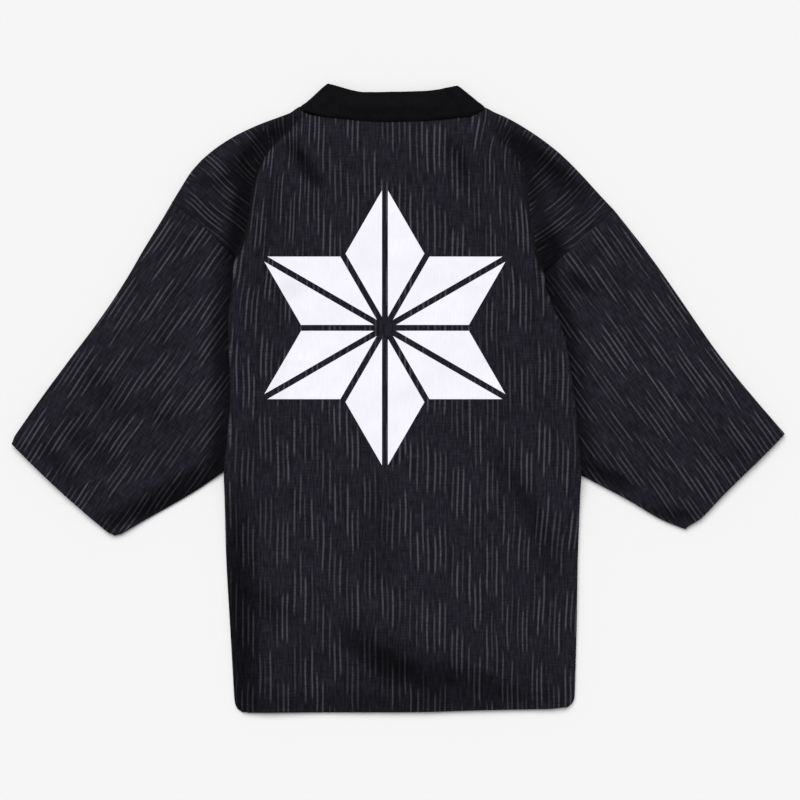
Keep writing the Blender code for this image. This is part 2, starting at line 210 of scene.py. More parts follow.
def press(piece, creases, lumps, seed, covered=None):
    """Fills out the upper layer and presses creases and lumps into it, and keeps painted shade for
    the creases' hollows and painted light for their ridges, from -1 to 1, as a point attribute.
    covered gives where the cloth lies still, from 0 to 1 at each point, because another piece lies
    on it."""
    points, facing = points_of(piece)
    plan = points[:, :2]
    rise = sum(crease_height(plan, crease) for crease in creases)
    # painted shade in the hollows of the creases, painted light on their ridges
    painted_shading = np.where(rise < 0, rise / FULL_SHADE_DEPTH, rise / FULL_LIGHT_HEIGHT)
    rise += PUFF * ease(edge_distance(points, facing) / PUFF_WIDTH)
    for size, height in lumps:
        rise += unevenness(plan, size, height, seed)
    if covered is not None:
        rise *= 1 - covered(plan)
    # the painted shade and light are kept on the points for the cloth's colour
    painted_shading_attribute = piece.data.attributes.new("painted_shading", "FLOAT", "POINT")
    painted_shading_attribute.data.foreach_set("value", np.clip(painted_shading, -1, 1))
    rise = np.maximum(rise, np.where(facing < 0, -DEEPEST_INSIDE, -DEEPEST))
    low, high = UPPER_LAYER
    points[:, 2] += rise * ease((points[:, 2] - low) / (high - low))
    place_points(piece, points)


FOLD_WALL = 6.0  # width of a fold's own side, which gets the same painted shade as the cloth beside it


def paint_shade_beside(piece, curve, outer_is_left, reach, depths):
    """Paints shade into the cloth that a fold hides from the light, on its outer side, out to that
    reach, and over the fold's own side. depths says how much, at even steps along the fold."""
    plan = points_of(piece)[0][:, :2]
    gap, on_left, run = beside(plan, curve)
    depth = np.interp(run, np.linspace(0, 1, len(depths)), depths)
    painted_shading = np.empty(len(plan))
    piece.data.attributes["painted_shading"].data.foreach_get("value", painted_shading)
    painted_shading -= depth * (1 - ease(gap / np.where(on_left == outer_is_left, reach, FOLD_WALL)))
    piece.data.attributes["painted_shading"].data.foreach_set("value", np.clip(painted_shading, -1, 1))


UNDER_FACE = 0.8  # the face that lies on the table is below this level
DEEPEST_UNDER = 0.9  # and its troughs stop short of this


def press_under(piece, creases, lumps, seed):
    """Presses soft troughs into the face that lies on the table, and leaves the rest on it."""
    points, _ = points_of(piece)
    plan = points[:, :2]
    lift = sum(crease_height(plan, crease) for crease in creases)
    for size, height in lumps:
        lift += unevenness(plan, size, height, seed)
    lift = np.clip(lift, 0, DEEPEST_UNDER)
    points[:, 2] += lift * ease((UNDER_FACE - points[:, 2]) / UNDER_FACE)
    place_points(piece, points)


SEAM_REACH = 6.0  # a seam pulls on this much of the cloth beside it


def draw_to_seam(piece, line, move):
    """Draws the cut edge along a seam to the piece that it's sewn to."""
    points, _ = points_of(piece)
    gap = beside(points[:, :2], np.array(line, float))[0]
    points[:, :2] += ease(1 - gap / SEAM_REACH)[:, None] * np.array(move)
    place_points(piece, points)


BACK_CREASES = [
    # the soft pleat that runs down from the left of the neck
    Crease([(-152, 356), (-128, 322), (-98, 280)], -3.4, 12, 18),
    Crease([(-168, 330), (-148, 296), (-130, 250)], 2.0, 22, 18),
    # its fellow, right of the neck
    Crease([(66, 356), (84, 324), (92, 280)], -2.2, 18, 16),
    # along the shoulder on the right, where the cloth rolls away to the front
    Crease([(136, 366), (176, 344), (222, 306), (262, 276)], -3.6, 12, 26),
    # the trough at the foot of each armhole fold
    Crease([(-150, 368), (-177, 342), (-199, 304), (-217, 258), (-239, 204)], -4.6, 9, 24),
    Crease([(-170, 358), (-206, 326), (-240, 286)], -3.0, 20, 26),
    Crease([(156, 350), (180, 306), (198, 254), (213, 196)], -1.2, 22, 9),
    Crease([(208, 250), (214, 230), (218, 208), (217, 180)], -4.6, 20, 16),
    # the cloth of the left shoulder, drawn from the seam towards the neck
    Crease([(-284, 300), (-250, 292), (-214, 300)], -1.6, 12, 14),
    # the hollow above the middle of the hem
    Crease([(-84, -306), (-46, -340), (-6, -360), (36, -372)], -2.6, 40, 26),
    Crease([(-46, -352), (0, -374), (52, -384), (96, -380)], -2.4, 34, 30),
    Crease([(50, -368), (110, -388), (180, -400)], -1.5, 26, 24),
    Crease([(-66, -262), (2, -284), (84, -322)], 1.8, 30, 26),
    # drag lines from the right armpit down the body
    Crease([(122, -68), (166, -128), (196, -196), (216, -262)], -1.7, 26, 20),
    Crease([(158, -62), (206, -120), (226, -190)], 1.8, 22, 26),
    Crease([(86, -70), (120, -150), (138, -232)], 1.3, 34, 26),
    # and from the left one, along the side edge
    Crease([(-226, -110), (-220, -200), (-214, -300), (-212, -400), (-212, -500)], -3.6, 40, 30),
    Crease([(-168, -110), (-160, -200), (-150, -282)], 1.4, 30, 30),
    Crease([(-206, -258), (-166, -286), (-124, -300)], -1.3, 30, 32),
    # broad falls of the cloth over each shoulder and towards the hem
    Crease([(120, 352), (184, 312), (262, 262)], -0.7, 56, 60),
    Crease([(-292, 280), (-262, 262), (-226, 214)], -0.6, 44, 44),
    Crease([(-262, -372), (-120, -366), (0, -372), (120, -378), (262, -372)], -0.6, 64, 64),
    # the hem falls away to the table
    Crease([(-260, -412), (-120, -416), (40, -416), (160, -412), (270, -408)], -1.2, 30, 30),
    # long shallow waves of a coat that has been folded lengthwise
    Crease([(-92, 350), (-84, 180), (-88, 20), (-94, -160)], 0.8, 44, 44),
    Crease([(34, 345), (30, 160), (40, -60), (34, -250)], 0.8, 46, 52),
    Crease([(-26, -120), (-30, -220), (-22, -300)], -0.7, 36, 32),
]
BACK_LUMPS = [(70, 1.5), (30, 0.6), (13, 0.2)]
BACK_SEED = 3.7
FOLD_RISE = 4.4  # the wadding lifts the armhole folds by this much more
FOLD_FOOT, FOLD_SHOULDER = 9.0, 14.0  # between these levels
# How the coat has shifted in plan where it lies. Each row draws the cloth round a place, less and
# less out to a reach, and its move is how far to the right and up. The order counts.
SHIFTS = [
    # the left sleeve's seam, down
    ((-309, 271), 50, (-2, -3.5)), ((-275, 243), 60, (-2.5, -2.5)), ((-236, 210), 75, (-1, -15)),
    # the right sleeve's seam, down and out
    ((290, 268), 60, (6.5, -6.8)), ((250, 232), 75, (11, -13)), ((208, 196), 80, (3, -18)),
    # the armholes, in towards the body
    ((-232, 215), 125, (17, 0)), ((-234, 60), 110, (5, 0)), ((-236, -20), 100, (7, 0)),
    ((200, 205), 135, (-16, 0)),
    # the right cuff's edge, and the cuffs' corners, which are blunt
    ((450, -125), 100, (-2, 2)), ((398, -179), 24, (-6.5, 1.8)), ((-385, -190), 13, (0.3, 3)),
    ((-526, -60.5), 12, (1.8, -1.5)),
    # the hem's left corner, its right half, and its right corner
    ((-211, -428), 12, (0, 1.6)), ((120, -424), 110, (0, 1.2)), ((231, -423), 26, (0, 2)),
]
# The corners of the neck tuck in under the collar.
NECK_CORNERS = [((-134, 391), 14, (1.2, 4.2)), ((120.5, 391), 14, (-1.5, 3.0))]


def shifted(plan, shifts=SHIFTS):
    """Where each place in plan comes to lie."""
    for place, reach, move in shifts:
        gap = np.linalg.norm(plan - place, axis=1)
        plan = plan + ease(1 - gap / reach)[:, None] * move
    return plan


def shift_piece(piece, shifts=SHIFTS):
    """Moves a piece with the rest of the coat, or as other shifts say."""
    points, _ = points_of(piece)
    points[:, :2] = shifted(points[:, :2], shifts)
    place_points(piece, points)


def faces_of_corners(piece):
    """For each corner of each face: its point, and its face's middle and normal."""
    mesh = piece.data
    corners = np.empty(len(mesh.loops), int)
    mesh.loops.foreach_get("vertex_index", corners)
    sizes = np.empty(len(mesh.polygons), int)
    mesh.polygons.foreach_get("loop_total", sizes)
    middles, normals = np.empty(len(sizes) * 3), np.empty(len(sizes) * 3)
    mesh.polygons.foreach_get("center", middles)
    mesh.polygons.foreach_get("normal", normals)
    face = np.repeat(np.arange(len(sizes)), sizes)
    points = points_of(piece)[0]
    return points[corners], (middles.reshape(-1, 3) / MM)[face], normals.reshape(-1, 3)[face]


def write_grain(piece, across, along):
    """Gives the piece the map that its weave follows: how far each corner is across the warp
    threads and along them."""
    grain = piece.data.uv_layers.new(name="grain")
    grain.data.foreach_set("uv", (np.column_stack([across, along]) * MM).ravel())


EDGE_ROUND = 4.0  # radius at which the cloth turns over at an edge
EDGE_CENTRE = 3.8  # and how high the middle of that round is
FACES_DOWN = -0.3  # the underside faces up by less than this
LOWER_LAYER = 3.2  # and lies below this level
OUTLINE_STEP = 8.0  # a piece's outline is read at places this far apart


def outline(across, along, side):
    """How far the piece reaches to one side, beside each of its places along it."""
    bins = np.round(along / OUTLINE_STEP).astype(int)
    first = bins.min()
    reach = np.full(bins.max() - first + 1, -1e9)
    np.maximum.at(reach, bins - first, side * across)
    places = (np.arange(len(reach)) + first) * OUTLINE_STEP
    return side * np.interp(along, places, reach)


def over_edges(across, along, point, middle_across, facing, returns=True):
    """Carries the threads round both edges of a piece, so that they are spaced round the edge
    as they are on the flat. returns says whether the cloth underneath is a return that follows
    them."""
    result = across.copy()
    for side in (-1, 1):
        centre = outline(across, along, side) - side * EDGE_ROUND
        beyond = side * (across - centre)
        turning = (beyond > 0) & (side * middle_across > 0)
        level = point[:, 2] - EDGE_CENTRE
        angle = np.arctan2(np.maximum(beyond, 0), level)
        result = np.where(turning, centre + side * EDGE_ROUND * angle, result)
        if returns:
            under = (facing < FACES_DOWN) & (beyond <= 0) & (point[:, 2] < LOWER_LAYER)
            under &= side * middle_across > 0
            result = np.where(under, centre + side * (EDGE_ROUND * math.pi - beyond), result)
    return result


# The edge of each armhole fold, from the neck to where the sleeve's seam meets it.
ARMHOLE_FOLDS = {
    "left": [(-118, 384), (-145, 366), (-171, 343), (-192, 309.5), (-211, 262.5), (-233, 207)],
    "right": [(103, 384.5), (126, 367), (149, 343.5), (172, 308), (190, 255.5), (206, 193)],
}
# How far out from the fold shade is painted into the cloth that it hides from the light, and how
# deeply, from the fold's top to its foot.
PAINTED_SHADE_REACH = {"left": 34.0, "right": 30.0}
PAINTED_SHADE_DEPTHS = {"left": [0.8, 0.9, 0.7, 0.7, 1.1], "right": [0.2, 0.4, 0.2, 0.1, 1.8]}
# The warp changes its way along the fold. On the left it keeps to its own line further up.
WARP_TURNS = {
    "left": [(-190, 376), (-172, 343), *ARMHOLE_FOLDS["left"][3:]],
    "right": ARMHOLE_FOLDS["right"],
}
# The shoulder's edge on the same rows, and the way the warp runs down from it, in degrees from
# the neck's own line towards the sleeve's seam.
SHOULDERS = {
    "left": [(-112, 394), (-160, 382), (-196, 368.5), (-236, 347.5), (-277, 313.5), (-310, 267)],
    "right": [(98, 394), (143, 383.5), (174, 366.5), (212, 340), (250, 305), (288.5, 264.5)],
}
SHOULDER_LEAN = [4, 22, 38, 45, 49, 50]
SHOULDER_EASE = 1.18  # the cloth is eased into the seam there, so its lines stand closer
# They swing to one side and back on their way down: how far, and over what length.
SHOULDER_SWAY = {"left": (1.4, 76.0), "right": (-4.5, 200.0)}
SHOULDER_START = {"left": 411.0, "right": 877.0}   # which stretch of the striped web each shows
BODY_MIDDLE_X = -6.0  # the middle of the body, across


def lean_of_body(x, y):
    """How far a warp thread of the back stands away from where it would hang straight. Each
    term is how much, times where it sets in across the back, times where it does up or down."""
    above = 0.5 * ((y - 100) + np.hypot(y - 100, 60))
    leaning_left = 0.17 * ease((-x - 90) / 130) * above
    leaning_right = -0.07 * ease((x - 80) / 130) * above
    dragged = -12.0 * ease((x - 110) / 110) * ease((-60 - y) / 270)
    fanned_right = 14.0 * ease((x - 78) / 60) * ease((y - 318) / 70)
    fanned_left = -12.0 * ease((-x - 125) / 50) * ease((y - 335) / 50)
    return leaning_left + leaning_right + dragged + fanned_right + fanned_left


def shoulder_grain(side, plan):
    """Threads over the shoulder: they fan out from the neck to the sleeve's seam. Gives how far
    along the shoulder's edge each point's thread starts, and how far down it the point is."""
    edge = smooth_line(SHOULDERS[side], 10)
    sign = 1 if side == "left" else -1
    spots = np.linspace(0, 1, len(edge))
    lean = np.radians(np.interp(spots, np.linspace(0, 1, len(SHOULDER_LEAN)), SHOULDER_LEAN))
    way = np.column_stack([sign * np.sin(lean), -np.cos(lean)])
    run = np.concatenate([[0], np.cumsum(np.linalg.norm(np.diff(edge, axis=0), axis=1))])
    to = plan[:, None, :] - edge[None]
    off = sign * (to[..., 0] * way[:, 1] - to[..., 1] * way[:, 0])
    down = (to * way).sum(2)
    later = np.clip((off > 0).sum(1), 1, len(edge) - 1)
    rows = np.arange(len(plan))
    before, after = off[rows, later - 1], off[rows, later]
    share = np.clip(before / np.where(np.abs(before - after) < 1e-6, 1, before - after), -2, 3)
    started = run[later - 1] + share * (run[later] - run[later - 1])
    return started, down[rows, later - 1] * (1 - share) + down[rows, later] * share


def beyond_fold(side, middle):
    """Which faces lie on the shoulder's side of the line where the warp turns."""
    turn = shifted(smooth_line(WARP_TURNS[side], 8))
    x = np.interp(-middle[:, 1], -turn[:, 1], turn[:, 0])
    outside = middle[:, 0] < x if side == "left" else middle[:, 0] > x
    return outside & (middle[:, 1] > turn[-1, 1])


back = cloth_on("back", "back_cloth", BACK_FACE)
points, _ = points_of(back)
points[:, 2] += FOLD_RISE * ease((points[:, 2] - FOLD_FOOT) / (FOLD_SHOULDER - FOLD_FOOT))
place_points(back, points)
press(back, BACK_CREASES, BACK_LUMPS, BACK_SEED)
shift_piece(back)
# painted shade on the back beside each armhole fold, where the fold hides it from the light
for name, fold in ARMHOLE_FOLDS.items():
    painted_shade_edge = shifted(smooth_line(fold[1:]))
    paint_shade_beside(back, painted_shade_edge, name == "right", PAINTED_SHADE_REACH[name], PAINTED_SHADE_DEPTHS[name])
shift_piece(back, NECK_CORNERS)
point, middle, normal = faces_of_corners(back)
x, y, _ = point.T
across = over_edges(x, y, point, middle[:, 0] - BODY_MIDDLE_X, normal[:, 2])
across -= lean_of_body(x, y)
along = y.copy()
for name, start in SHOULDER_START.items():
    cap = beyond_fold(name, middle)
    started, down = shoulder_grain(name, point[cap, :2])
    swing, wave = SHOULDER_SWAY[name]
    sway = swing * np.sin(2 * math.pi * down / wave)
    across[cap] = SHOULDER_EASE * started + sway + start
    along[cap] = -down
write_grain(back, across, along)


def linear(code):
    """An sRGB colour such as #1f1e24 as linear red, green, blue and alpha."""
    parts = [int(code[i : i + 2], 16) / 255 for i in (1, 3, 5)]
    return [c / 12.92 if c <= 0.04045 else ((c + 0.055) / 1.055) ** 2.4 for c in parts] + [1.0]


def add(tree, kind, settings=None, links=None):
    """Adds a shader node, sets its options and inputs, and links its inputs to other nodes'
    outputs. A kind such as Math.FLOOR gives the operation too. A link is a node, for its first
    output, or a node and the output's name."""
    kind, _, operation = kind.partition(".")
    node = tree.nodes.new("ShaderNode" + kind)
    if operation:
        node.operation = operation
    for key, value in (settings or {}).items():
        if isinstance(key, str) and hasattr(node, key):
            setattr(node, key, value)
        else:
            node.inputs[key].default_value = value
    for key, source in (links or {}).items():
        source, name = source if isinstance(source, tuple) else (source, 0)
        tree.links.new(source.outputs[name], node.inputs[key])
    return node


def blank_material(name):
    """A new material, and its node tree with nothing in it."""
    material = bpy.data.materials.new(name)
    material.use_nodes = True
    material.node_tree.nodes.clear()
    return material, material.node_tree


LINE_SPACING = 7.9 * MM  # between two warp lines that carry the pale yarn
LINE_WIDTH = 2.2 * MM  # the pale yarn is three threads wide
WANDER, WANDER_SIZE = 3.2 * MM, 60 * MM  # how far a warp line strays, and over what length
LINES_IN_SET = 3  # the lines are warped in threes, each a little nearer to the last
NEARER = 0.1  # by this share of their spacing
DASH_REPEAT = 108.0 * MM  # a pale dash and the dark stretch after it
DASH_SHARE = 0.52  # what the dash takes of it
DASH_VARIES = 0.1  # and how much that share differs from dash to dash, either way
# What sets where a line's dashes start, as shares of the repeat: a slow drift from set to set and
# its pace, every other set's lag, each set's luck, the step from line to line, and a line's luck.
DRIFT, DRIFT_PACE = 0.9, 0.11
OTHER_SET, SET_LUCK = 0.36, 0.38
LINE_STEP, LINE_LUCK = 0.05, 0.36
HEAD_FADE, TAIL_FADE = 0.13, 0.14  # the dash fades in and out over these shares of the repeat
SLUB_WIDTH = 2.2 * MM  # drawn four times as coarse as the threads are, so that they show
SLUB_LENGTH = 17.0 * MM
WEFT_SHOWS = 0.45  # the weft is beaten in close, so less of its unevenness shows
RAGGED = 0.14  # how far the weft breaks the edge of the pale yarn
GROUND_DARK = "#16151a"
GROUND_LIGHT = "#2a2831"
YARN_GREY = "#504f58"
PAINTED_SHADING_RANGE = 3.8  # how many times as dark as the flat cloth the full painted shade makes it, and as bright the full painted light


def striped_cotton():
    """Plain-woven cotton, spun unevenly and dyed near black, with tie-dyed warp yarns that come
    out grey for a hand's width and then go dark again. It is matt with a faint dusty nap, and
    the slubs of its yarn break up each dash."""
    material, tree = blank_material("striped_cotton")
    grain = add(tree, "UVMap", {"uv_map": "grain"})
    place = add(tree, "SeparateXYZ", {}, {0: grain})
    # which warp line, which set of lines, and where in its own strip
    straying = {"noise_dimensions": "2D", "Scale": 1 / WANDER_SIZE, "Detail": 0.0}
    stray = add(tree, "TexNoise", straying, {"Vector": grain})
    strip = add(tree, "Math.MULTIPLY_ADD", {1: WANDER}, {0: stray, 2: (place, "X")})
    strip = add(tree, "Math.DIVIDE", {1: LINE_SPACING}, {0: strip})
    line = add(tree, "Math.FLOOR", {}, {0: strip})
    in_strip = add(tree, "Math.FRACT", {}, {0: strip})
    line_set = add(tree, "Math.DIVIDE", {1: LINES_IN_SET}, {0: line})
    line_set = add(tree, "Math.FLOOR", {}, {0: line_set})
    member = add(tree, "Math.MULTIPLY_ADD", {1: -LINES_IN_SET}, {0: line_set, 2: line})
    luck = add(tree, "TexWhiteNoise", {"noise_dimensions": "1D"}, {"W": line})
    luck = add(tree, "SeparateColor", {}, {0: (luck, "Color")})
    set_luck = add(tree, "TexWhiteNoise", {"noise_dimensions": "1D"}, {"W": line_set})
    # where each line's dashes start
    drift = add(tree, "Math.MULTIPLY", {1: DRIFT_PACE}, {0: line_set})
    smooth = {"noise_dimensions": "1D", "Scale": 1.0, "Detail": 0.0}
    drift = add(tree, "TexNoise", smooth, {"W": drift})
    other = add(tree, "Math.FLOORED_MODULO", {1: 2.0}, {0: line_set})
    start = add(tree, "Math.MULTIPLY", {1: DRIFT}, {0: drift})
    causes = [(OTHER_SET, other), (SET_LUCK, set_luck), (LINE_STEP, member), (LINE_LUCK, luck)]
    for share, cause in causes:
        start = add(tree, "Math.MULTIPLY_ADD", {1: share}, {0: cause, 2: start})
    beat = add(tree, "Math.DIVIDE", {1: DASH_REPEAT}, {0: (place, "Y")})
    beat = add(tree, "Math.ADD", {}, {0: beat, 1: start})
    dash = add(tree, "Math.FLOOR", {}, {0: beat})
    in_dash = add(tree, "Math.FRACT", {}, {0: beat})
    which = add(tree, "CombineXYZ", {}, {0: line, 1: dash})
    fate = add(tree, "TexWhiteNoise", {"noise_dimensions": "2D"}, {"Vector": which})
    fate = add(tree, "SeparateColor", {}, {0: (fate, "Color")})
    # both ends of the dash fade out, because the dye creeps under the tie
    shares = {"To Min": DASH_SHARE - DASH_VARIES, "To Max": DASH_SHARE + DASH_VARIES}
    length = add(tree, "MapRange", shares, {0: fate})
    fade = add(tree, "Math.ADD", {1: TAIL_FADE}, {0: length})
    head = add(
        tree, "MapRange",
        {"interpolation_type": "SMOOTHSTEP", "From Max": HEAD_FADE}, {0: in_dash},
    )
    tail = add(
        tree, "MapRange",
        {"interpolation_type": "SMOOTHSTEP", "To Min": 1.0, "To Max": 0.0},
        {0: in_dash, "From Min": length, "From Max": fade},
    )
    stretch = add(tree, "Math.MULTIPLY", {}, {0: head, 1: tail})
    # slubs: uneven yarn, along the warp and across it
    slubs = []
    for wide, long in ((SLUB_WIDTH, SLUB_LENGTH), (SLUB_LENGTH, SLUB_WIDTH)):
        yarns = add(tree, "Mapping", {"Scale": (1 / wide, 1 / long, 1)}, {"Vector": grain})
        lumpy = {"noise_dimensions": "2D", "Scale": 1.0, "Detail": 2.0}
        slubs.append(add(tree, "TexNoise", lumpy, {"Vector": yarns}))
    warp, weft = slubs
    less = {1: WEFT_SHOWS, 2: (1 - WEFT_SHOWS) / 2}
    soft_weft = add(tree, "Math.MULTIPLY_ADD", less, {0: weft})
    uneven = add(tree, "Math.MULTIPLY", {}, {0: warp, 1: soft_weft})
    # the yarn wanders a little in its strip, and its edge is broken by the weft
    centre = add(tree, "MapRange", {"To Min": 0.54, "To Max": 0.66}, {0: (luck, "Green")})
    centre = add(tree, "Math.MULTIPLY_ADD", {1: -NEARER}, {0: member, 2: centre})
    off = add(tree, "Math.SUBTRACT", {}, {0: in_strip, 1: centre})
    off = add(tree, "Math.ABSOLUTE", {}, {0: off})
    ragged = add(tree, "Math.SUBTRACT", {1: 0.5}, {0: weft})
    off = add(tree, "Math.MULTIPLY_ADD", {1: RAGGED}, {0: ragged, 2: off})
    half = LINE_WIDTH / LINE_SPACING / 2
    yarn = add(
        tree, "MapRange",
        {"interpolation_type": "SMOOTHSTEP", "From Min": half * 0.1, "From Max": half * 1.8,
         "To Min": 1.0, "To Max": 0.0},
        {0: off},
    )
    strength = add(tree, "MapRange", {"To Min": 0.32, "To Max": 1.02}, {0: (fate, "Blue")})
    breaks = {"From Min": 0.25, "From Max": 0.65, "To Min": 0.35, "To Max": 1.2}
    broken = add(tree, "MapRange", breaks, {0: weft})
    shown = stretch
    for part in (yarn, strength, broken):
        shown = add(tree, "Math.MULTIPLY", {}, {0: shown, 1: part})
    # beside a pale stretch the ground is the deeper black of the tied yarn's dye bath
    ground = add(tree, "MapRange", {"From Min": 0.14, "From Max": 0.40}, {0: uneven})
    ground = add(tree, "Math.MULTIPLY_ADD", {1: -0.3}, {0: stretch, 2: ground})
    # Mix has one set of sockets for each kind of value, and the colours are the last of them
    darks = {"data_type": "RGBA", 6: linear(GROUND_DARK), 7: linear(GROUND_LIGHT)}
    ground = add(tree, "Mix", darks, {0: ground})
    pale = {"data_type": "RGBA", 7: linear(YARN_GREY)}
    colour = add(tree, "Mix", pale, {0: shown, 6: (ground, 2)})
    # painted light on the ridges of its creases, painted shade in their hollows and beside the
    # folds
    painted_shading_attribute = add(tree, "Attribute", {"attribute_name": "painted_shading"})
    painted_shading_factor = add(tree, "Math.POWER", {0: PAINTED_SHADING_RANGE}, {1: (painted_shading_attribute, "Fac")})
    colour = add(tree, "VectorMath.SCALE", {}, {0: (colour, 2), "Scale": painted_shading_factor})
    relief = add(tree, "Math.MULTIPLY_ADD", {1: 0.5}, {0: shown, 2: uneven})
    bump = add(tree, "Bump", {"Strength": 0.45, "Distance": 0.5 * MM}, {"Height": relief})
    skin = add(
        tree, "BsdfPrincipled",
        {"Roughness": 0.92, "Specular IOR Level": 0.05, "Sheen Weight": 0.03,
         "Sheen Roughness": 0.45, "Sheen Tint": linear("#c8c8d6")},
        {"Base Color": colour, "Normal": bump},
    )
    add(tree, "OutputMaterial", {}, {"Surface": skin})
    return material


cotton = striped_cotton()
back.data.materials.append(cotton)
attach(back, "root")
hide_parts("back")

# The two front panels -------------------------------------------------
# They lie under the back, face down on whatever the coat lies on. Each is the same striped
# cotton, cut straight, and is sewn to the back's edge and to the collar band.

FRONT_CREASES = {
    "left": [
        Crease([(-196, 300), (-150, 190), (-120, 60)], 0.8, 16, 20),
        Crease([(-210, -130), (-168, -230), (-150, -340)], 0.7, 18, 22),
        Crease([(-90, 40), (-104, -120), (-92, -300)], 0.8, 14, 18),
        Crease([(-180, 20), (-140, -40), (-80, -70)], 0.6, 20, 16),
    ],
    "right": [
        Crease([(176, 296), (140, 200), (96, 90)], 0.7, 18, 18),
        Crease([(216, -120), (188, -220), (180, -330)], 0.8, 20, 16),
        Crease([(84, 20), (100, -140), (90, -310)], 0.6, 16, 18),
        Crease([(180, 60), (150, -30), (80, -60)], 0.8, 18, 20),
    ],
}
UNDER_LUMPS = [(46, 0.5)]
FRONT_SEED = 5.1
FRONT_START = {"left": 31.0, "right": 67.0}   # how far along the striped web each was cut

for side in ("left", "right"):
    front = cloth_on(f"front_{side}", f"front_{side}_cloth")
    press_under(front, FRONT_CREASES[side], UNDER_LUMPS, FRONT_SEED)
    shift_piece(front)
    point, middle, normal = faces_of_corners(front)
    write_grain(front, point[:, 0], point[:, 1] + FRONT_START[side])
    front.data.materials.append(cotton)
    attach(front, "root")
    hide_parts(f"front_{side}")

# The sleeves ----------------------------------------------------------
# Wide tubes, each cut in one piece that is folded along its top edge and closed along the lower
# one. They slant down from the shoulder, and their warp runs along the folded edge.

SLEEVE_CREASES = {
    "left": [
        # the swell of the wadding beyond the body's fold
        Crease([(-262, 186), (-268, 90), (-270, 0), (-266, -84)], 2.6, 28, 60),
        # where the lower edge rolls under, near the armpit and near the cuff
        Crease([(-362, -168), (-316, -142), (-270, -116), (-232, -92)], -4.6, 30, 18),
        Crease([(-412, -176), (-374, -166), (-330, -144)], -2.6, 24, 14),
        # drag lines from the armpit up and out along the sleeve
        Crease([(-252, -60), (-300, -40), (-352, -2)], -1.3, 18, 22),
        Crease([(-420, 60), (-400, 10), (-350, -30)], -1.2, 24, 32),
        Crease([(-380, 120), (-350, 60), (-310, 10)], 1.3, 32, 30),
        Crease([(-452, -20), (-414, -70), (-372, -98)], -1.2, 24, 28),
        Crease([(-400, -120), (-356, -112), (-316, -92)], 1.4, 24, 26),
        Crease([(-276, 200), (-306, 110), (-316, 30)], -1.0, 24, 28),
        Crease([(-310, 190), (-336, 110), (-360, 50)], 1.2, 28, 26),
        Crease([(-494, -50), (-462, -84), (-430, -120)], -1.2, 18, 20),
    ],
    "right": [
        Crease([(252, 150), (262, 60), (276, -20), (280, -84)], 2.4, 60, 26),
        Crease([(300, 150), (350, 40), (400, -30), (440, -110)], 1.8, 80, 80),
        Crease([(232, 186), (252, 160), (282, 132)], -2.4, 14, 20),
        Crease([(292, 170), (312, 90), (346, 20)], -1.4, 24, 26),
        Crease([(270, 190), (296, 110), (318, 50)], 1.2, 24, 24),
        Crease([(330, 190), (340, 110), (372, 40)], 1.2, 24, 28),
        Crease([(252, -88), (284, -104), (326, -122)], -3.0, 12, 18),
        Crease([(262, -28), (300, -40), (344, -32)], -1.5, 18, 20),
        Crease([(254, -56), (296, -66), (340, -78)], 1.2, 18, 18),
        Crease([(388, 70), (400, 0), (440, -50)], -1.1, 28, 24),
        Crease([(352, 130), (384, 60), (430, 10)], 1.2, 28, 30),
        Crease([(330, -60), (372, -90), (408, -130)], 1.3, 28, 26),
        Crease([(420, -60), (452, -80), (480, -70)], -1.1, 22, 22),
        Crease([(340, -150), (380, -160), (412, -160)], -2.0, 12, 16),
    ],
}
SLEEVE_LUMPS = [(60, 1.5), (27, 0.6), (13, 0.2)]
SLEEVE_SEED, BENEATH_SEED = 8.3, 6.4
BENEATH = 0.3  # its lower layer has the upper one's creases, as troughs, this deep
# Each sleeve's inner end. What lies nearer to the body than this line is pressed still by the
# back's fold, and beyond the margin the cloth frees itself over a short way.
SLEEVE_ENDS = {
    "left": [(-307, 269.5), (-241, 213.8), (-230, 190), (-228, 72), (-232, -60), (-236, -110)],
    "right": [(285.5, 267), (214.5, 201), (206, 180), (222, 72), (240, -40), (250, -110)],
}
STILL_MARGIN, FREES_OVER = 4.0, 26.0
# The seam between the back's shoulder and the sleeve
SLEEVE_SEAMS = {
    "left": [(-309, 271), (-270, 238.2), (-236, 210)],
    "right": [(287.5, 269), (246, 230), (209, 196)],
}
SEAM_DRAW = 0.9  # how far each of the two edges is drawn to the seam
# The back's side edge over the sleeve, and how deep the shade painted on the sleeve beside it is,
# where it hides the sleeve from the light, from its top down
BODY_EDGES = {
    "left": [(-233, 222), (-232, 147), (-234, 72), (-235, -3), (-236, -71), (-236, -104)],
    "right": [(206, 208), (212, 144), (228, 78), (240, 4), (247, -71), (249, -108)],
}
PAINTED_SHADE_UNDER_BACK = {"left": [1.1, 0.7, 0.9, 0.7, 1.1], "right": [1.2, 0.9, 0.6, 0.5, 0.7]}
SLEEVE_WIDTH = 230.0
# Each sleeve's warp, in degrees: how far it leans out from straight down along the top edge, and
# how much more it does along the lower one
SLEEVE_WARP = {"left": (34.0, 1.0), "right": (34.8, 1.0)}
SPACED_AT = 200.0  # the warp's spacing holds true this far down from the sleeve's top
SLEEVE_EASE = {"left": 1.07, "right": 1.13}   # its lines stand this much closer than the back's
SLEEVE_START = {"left": 600.0, "right": 2000.0}   # which stretch of the striped web each shows


def under_the_back(side):
    """The sleeve lies still under the back's fold, and is free from a thumb's width on."""
    end = smooth_line(SLEEVE_ENDS[side])

    def still(plan):
        gap = beside(plan, end)[0]
        inner = np.interp(-plan[:, 1], -end[:, 1], end[:, 0])
        covered = plan[:, 0] > inner if side == "left" else plan[:, 0] < inner
        return np.where(covered, 1.0, 1 - ease((gap - STILL_MARGIN) / FREES_OVER))

    return still


